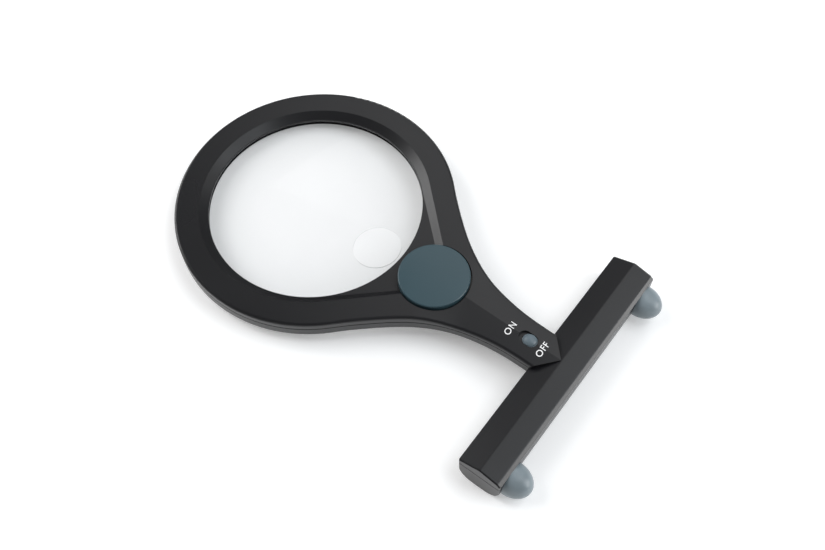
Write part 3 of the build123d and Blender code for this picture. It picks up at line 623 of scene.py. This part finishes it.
class MAGNIFIER_OT_battery(Operator):
    """Finish the cells, contacts and wires"""
    bl_idname = "magnifier.battery"
    bl_label = "Battery bay"

    def execute(self, context):
        nickel = metal("contact_nickel", (0.66, 0.65, 0.61), 0.25)
        for node in ("positive_contact", "negative_contact", "contact_spring"):
            dress(node, nickel)
        cell = context.scene.magnifier_cells
        for node in ("battery_cell_front", "battery_cell_back"):
            dress(node, cell_sleeve(node + "_sleeve", node, cell.body, cell.band, cell.band_share))
        for node, colour in (("wire_red", (0.5, 0.02, 0.015)), ("wire_black", (0.015, 0.015, 0.015)),
                             ("wire_white", (0.75, 0.74, 0.7))):
            dress(node, moulded_plastic(node + "_vinyl", colour, 0.42))
        return {"FINISHED"}


class MAGNIFIER_OT_feet(Operator):
    """Finish the rubber feet"""
    bl_idname = "magnifier.feet"
    bl_label = "Feet"

    def execute(self, context):
        rubber = soft_rubber("foot_rubber", context.scene.magnifier_finishes.rubber)
        for node in ("foot_left", "foot_right"):
            dress(node, rubber)
        return {"FINISHED"}


class MagnifierScrews(PropertyGroup):
    """Sizes of the shell screws"""
    head_radius: length_setting("Head radius", "Radius of the screw heads", 0.002)
    head_height: length_setting("Head height", "Height of the screw heads", 0.0013)
    shank_radius: length_setting("Shank radius", "Radius of the screw shanks", 0.0011)
    cross_length: length_setting("Cross length", "Length of the driver cross", 0.0022)
    cross_width: length_setting("Cross width", "Width of the driver cross", 0.0005)
    cross_depth: length_setting("Cross depth", "Depth of the driver cross", 0.0007)


def screw_head(tree):
    """A head that hangs under the seat: a drum that narrows to its face, with a cross cut into the face."""
    radius, height = tree.size("Head Radius", 0.002), tree.size("Head Height", 0.0013)
    cross_length, cross_width = tree.size("Cross Length", 0.0022), tree.size("Cross Width", 0.0005)
    cross_depth = tree.size("Cross Depth", 0.0007)
    face = tree.math("MULTIPLY", height, -1.0)
    crown_height = tree.math("MULTIPLY", height, CROWN_SHARE)
    crown = tree.node("GeometryNodeMeshCone", Vertices=HEAD_SIDES, Side_Segments=1, Fill_Segments=1,
                      Radius_Top=radius, Radius_Bottom=tree.math("MULTIPLY", radius, FACE_SHARE),
                      Depth=crown_height)
    drum_height = tree.math("MULTIPLY", height, 1 - CROWN_SHARE)
    drum = tree.node("GeometryNodeMeshCylinder", Vertices=HEAD_SIDES, Radius=radius, Depth=drum_height)
    drum_middle = tree.math("MULTIPLY", drum_height, -0.5)
    whole = tree.node("GeometryNodeMeshBoolean", {"operation": "UNION", "solver": "EXACT"},
                      Mesh_2=raised(tree, drum.outputs["Mesh"], drum_middle))
    tree.group.links.new(raised(tree, crown.outputs["Mesh"], face), whole.inputs["Mesh 2"])
    slotted = tree.node("GeometryNodeMeshBoolean", {"operation": "DIFFERENCE", "solver": "EXACT"},
                        Mesh_1=whole.outputs["Mesh"])
    for long_side, short_side in ((cross_length, cross_width), (cross_width, cross_length)):
        both_ways = tree.math("MULTIPLY", cross_depth, 2.0)
        box = tree.node("ShaderNodeCombineXYZ", X=long_side, Y=short_side, Z=both_ways)
        cut = tree.node("GeometryNodeMeshCube", Size=box.outputs[0])
        tree.group.links.new(raised(tree, cut.outputs["Mesh"], face), slotted.inputs["Mesh 2"])
    return slotted.outputs["Mesh"]


def screw_tree(material):
    """Cross-head screws that stand on points, head down; each point's length attribute sizes its shank."""
    tree = Tree("cross_head_screws")
    head = screw_head(tree)
    shank_radius = tree.size("Shank Radius", 0.0011)
    shank = tree.node("GeometryNodeMeshCone", Vertices=SHANK_SIDES, Radius_Bottom=shank_radius, Depth=1.0,
                      Radius_Top=tree.math("MULTIPLY", shank_radius, TIP_SHARE))
    points = tree.start.outputs["Geometry"]
    heads = tree.node("GeometryNodeInstanceOnPoints", Points=points, Instance=head)
    length = tree.node("GeometryNodeInputNamedAttribute", {"data_type": "FLOAT"}, Name="length")
    stretch = tree.node("ShaderNodeCombineXYZ", X=1.0, Y=1.0, Z=length.outputs["Attribute"])
    shanks = tree.node("GeometryNodeInstanceOnPoints", Points=points, Instance=shank.outputs["Mesh"],
                       Scale=stretch.outputs[0])
    together = tree.node("GeometryNodeJoinGeometry", Geometry=heads.outputs[0])
    tree.group.links.new(shanks.outputs[0], together.inputs[0])
    tree.finish(together.outputs[0], material)
    return tree


def screw_points():
    """A mesh of points where the screw heads seat, with each shank's length."""
    places = []
    for turn in RING_SCREW_TURNS:
        angle = math.radians(turn)
        x, y = RING_SCREW_RADIUS * math.cos(angle), RING_SCREW_RADIUS * math.sin(angle)
        places.append((x, y, SHALLOW_SEAT, RING_SHANK))
    for side in (-1, 1):
        places.append((NECK_SCREW[0], side * NECK_SCREW[1], SHALLOW_SEAT, NECK_SHANK))
        places.append((BAR_SCREW[0], side * BAR_SCREW[1], DEEP_SEAT, BAR_SHANK))
    mesh = bpy.data.meshes.new("screw_points")
    mesh.from_pydata([Vector(place[:3]) * MM for place in places], [], [])
    lengths = mesh.attributes.new("length", "FLOAT", "POINT")
    lengths.data.foreach_set("value", [place[3] * MM for place in places])
    return mesh


class MAGNIFIER_OT_screws(Operator):
    """Make the screws that hold the shells together"""
    bl_idname = "magnifier.screws"
    bl_label = "Screws"

    def execute(self, context):
        sizes = context.scene.magnifier_screws
        zinc = metal("screw_zinc", (0.55, 0.55, 0.53), 0.32)
        mesh = grow(screw_tree(zinc), screw_points(), Head_Radius=sizes.head_radius,
                    Head_Height=sizes.head_height, Shank_Radius=sizes.shank_radius,
                    Cross_Length=sizes.cross_length, Cross_Width=sizes.cross_width,
                    Cross_Depth=sizes.cross_depth)
        mesh.transform(OWN_AXES)
        tidy_normals(mesh, sharp_angle=math.radians(30))
        piece = add_piece("screws", mesh, "frame")
        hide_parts("shell_screws")
        return {"FINISHED"}


# --- Stage --------------------------------------------------------------------------------------
class MagnifierStage(PropertyGroup):
    """Camera, lights and table"""
    lens_mm: FloatProperty(name="Focal length", description="Camera focal length in millimetres",
                           default=42.2, min=10, max=300)
    eye: FloatVectorProperty(name="Eye", description="Where the camera stands", subtype="TRANSLATION",
                             unit="LENGTH", size=3, default=(0.13334, -0.1775, 0.40048))
    aim: FloatVectorProperty(name="Aim", description="Point on the table that the camera looks at",
                             subtype="TRANSLATION", unit="LENGTH", size=3, default=(0.00996, 0.00267, 0.0))
    roll: FloatProperty(name="Roll", description="Turn of the camera about its line of sight",
                        subtype="ANGLE", default=math.radians(3.25))
    key_power: power_setting("Key light", "Power of the large light on the left", 10.5)
    sky_power: power_setting("Overhead panel", "Power of the panel above and behind", 2.9)
    strip_power: power_setting("Overhead strip", "Power of the dim strip in front of the panel", 0.4)
    corner_power: power_setting("Corner panel", "Power of the panel above the crossbar", 4.2)
    side_power: power_setting("Side panel", "Power of the panel on the right", 2.1)
    edge_power: power_setting("Edge panel", "Power of the low panel that lines the edges", 5.3)
    rim_power: power_setting("Rim panel", "Power of the low panel on the left", 5.0)
    cool: colour_setting("Cool light", "Colour of the panels that line the facets", (0.91, 0.96, 1.0))
    room: FloatProperty(name="Room light", description="Strength of the even light all round", default=0.18,
                        min=0)
    table_glow: FloatProperty(name="Table glow", description="Light given off by the translucent table",
                              default=0.25, min=0)


def soft_light(name, place, aim, size, power, colour=(1, 1, 1)):
    """A rectangular area light that faces a point, and isn't seen through clear plastic."""
    data = bpy.data.lights.new(name, "AREA")
    data.color = colour
    data.shape = "RECTANGLE"
    data.size, data.size_y = size
    data.energy = power
    lamp = link_object(name, data)
    lamp.location = place
    lamp.visible_transmission = False
    lamp.rotation_euler = (Vector(aim) - Vector(place)).to_track_quat("-Z", "Y").to_euler()
    return lamp


def lay_table(settings):
    """A large white table that glows a little."""
    half = TABLE_HALF
    mesh = bpy.data.meshes.new("table")
    corners = [(-half, -half, 0), (half, -half, 0), (half, half, 0), (-half, half, 0)]
    mesh.from_pydata(corners, [], [(0, 1, 2, 3)])
    finish = Finish("table_white")
    finish.feed(finish.blend(finish.noise(3.0), (0.86, 0.86, 0.86), (0.9, 0.9, 0.9)), "Base Color")
    set_inputs(finish.shader, Roughness=0.6, Emission_Color=(1, 1, 1, 1),
               Emission_Strength=settings.table_glow)
    mesh.materials.append(finish.material)
    table = link_object("table", mesh)


def hang_lights(settings):
    """The key light, the panels that the facets reflect, and an even light from the room."""
    centre = (0, 0, 0)
    key = soft_light("key", (-0.92, -0.45, 1.1), centre, (0.9, 0.9), settings.key_power)
    key.visible_glossy = False
    soft_light("sky_panel", (-0.2, 0.79, 0.9), (-0.2, 0.79, 0), (1.3, 0.74), settings.sky_power)
    soft_light("sky_strip", (0.06, 0.26, 0.9), (0.06, 0.26, 0), (0.95, 0.3), settings.strip_power)
    soft_light("corner_panel", (0.42, 0.36, 0.9), (0.42, 0.36, 0), (0.6, 0.7), settings.corner_power,
               settings.cool)
    soft_light("side_panel", (1.05, 0.35, 0.72), centre, (0.6, 0.4), settings.side_power, settings.cool)
    soft_light("edge_panel", (1.1, 0.45, 0.3), centre, (0.7, 0.4), settings.edge_power)
    soft_light("rim_panel", (-1.1, -0.1, 0.45), centre, (0.8, 0.5), settings.rim_power)
    world = bpy.data.worlds.new("room")
    bpy.context.scene.world = world
    world.use_nodes = True
    set_inputs(world.node_tree.nodes["Background"], Color=(1, 1, 1, 1), Strength=settings.room)


def stand_camera(settings):
    """The camera, turned about its line of sight."""
    eye, aim = Vector(settings.eye), Vector(settings.aim)
    data = bpy.data.cameras.new("camera")
    data.lens, data.sensor_width = settings.lens_mm, SENSOR_WIDTH
    data.clip_start, data.clip_end = NEAREST, FARTHEST
    camera = link_object("camera", data)
    facing = (aim - eye).to_track_quat("-Z", "Y").to_matrix().to_4x4()
    camera.matrix_world = Matrix.Translation(eye) @ facing @ Matrix.Rotation(settings.roll, 4, "Z")
    bpy.context.scene.camera = camera


class MAGNIFIER_OT_stage(Operator):
    """Make the table, the lights and the camera"""
    bl_idname = "magnifier.stage"
    bl_label = "Stage"

    def execute(self, context):
        settings = context.scene.magnifier_stage
        lay_table(settings)
        hang_lights(settings)
        context.scene.view_settings.view_transform = "Standard"
        stand_camera(settings)
        return {"FINISHED"}


# --- Panel and main -------------------------------------------------------------------------------
STEPS = (MAGNIFIER_OT_shells, MAGNIFIER_OT_lens, MAGNIFIER_OT_lamp, MAGNIFIER_OT_switch, MAGNIFIER_OT_marks,
         MAGNIFIER_OT_battery, MAGNIFIER_OT_feet, MAGNIFIER_OT_screws, MAGNIFIER_OT_stage)
GROUPS = {
    "magnifier_finishes": MagnifierFinishes,
    "magnifier_lens": MagnifierLens,
    "magnifier_marks": MagnifierMarks,
    "magnifier_cells": MagnifierCells,
    "magnifier_screws": MagnifierScrews,
    "magnifier_stage": MagnifierStage,
}


class MAGNIFIER_PT_panel(Panel):
    """Lists the magnifier's pieces"""
    bl_label = "Magnifier"
    bl_idname = "MAGNIFIER_PT_panel"
    bl_space_type = "VIEW_3D"
    bl_region_type = "UI"
    bl_category = "Magnifier"

    def draw(self, context):
        for key in GROUPS:
            group = getattr(context.scene, key)
            for name in group.bl_rna.properties.keys():
                if name not in ("name", "rna_type"):
                    self.layout.prop(group, name)
        for step in STEPS:
            self.layout.operator(step.bl_idname)


CLASSES = (*GROUPS.values(), *STEPS, MAGNIFIER_PT_panel)


def register():
    """Add the settings, operators and panel."""
    for made in CLASSES:
        bpy.utils.register_class(made)
    for key, group in GROUPS.items():
        setattr(bpy.types.Scene, key, PointerProperty(type=group))


def unregister():
    """Take them away again."""
    for key in GROUPS:
        delattr(bpy.types.Scene, key)
    for made in reversed(CLASSES):
        bpy.utils.unregister_class(made)


def main():
    """Clear the startup objects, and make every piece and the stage."""
    for name in STARTUP_OBJECTS:
        if name in bpy.data.objects:
            bpy.data.objects.remove(bpy.data.objects[name])
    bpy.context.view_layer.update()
    register()
    for step in STEPS:
        area, name = step.bl_idname.split(".")
        getattr(getattr(bpy.ops, area), name)()


if __name__ == "__main__":
    main()
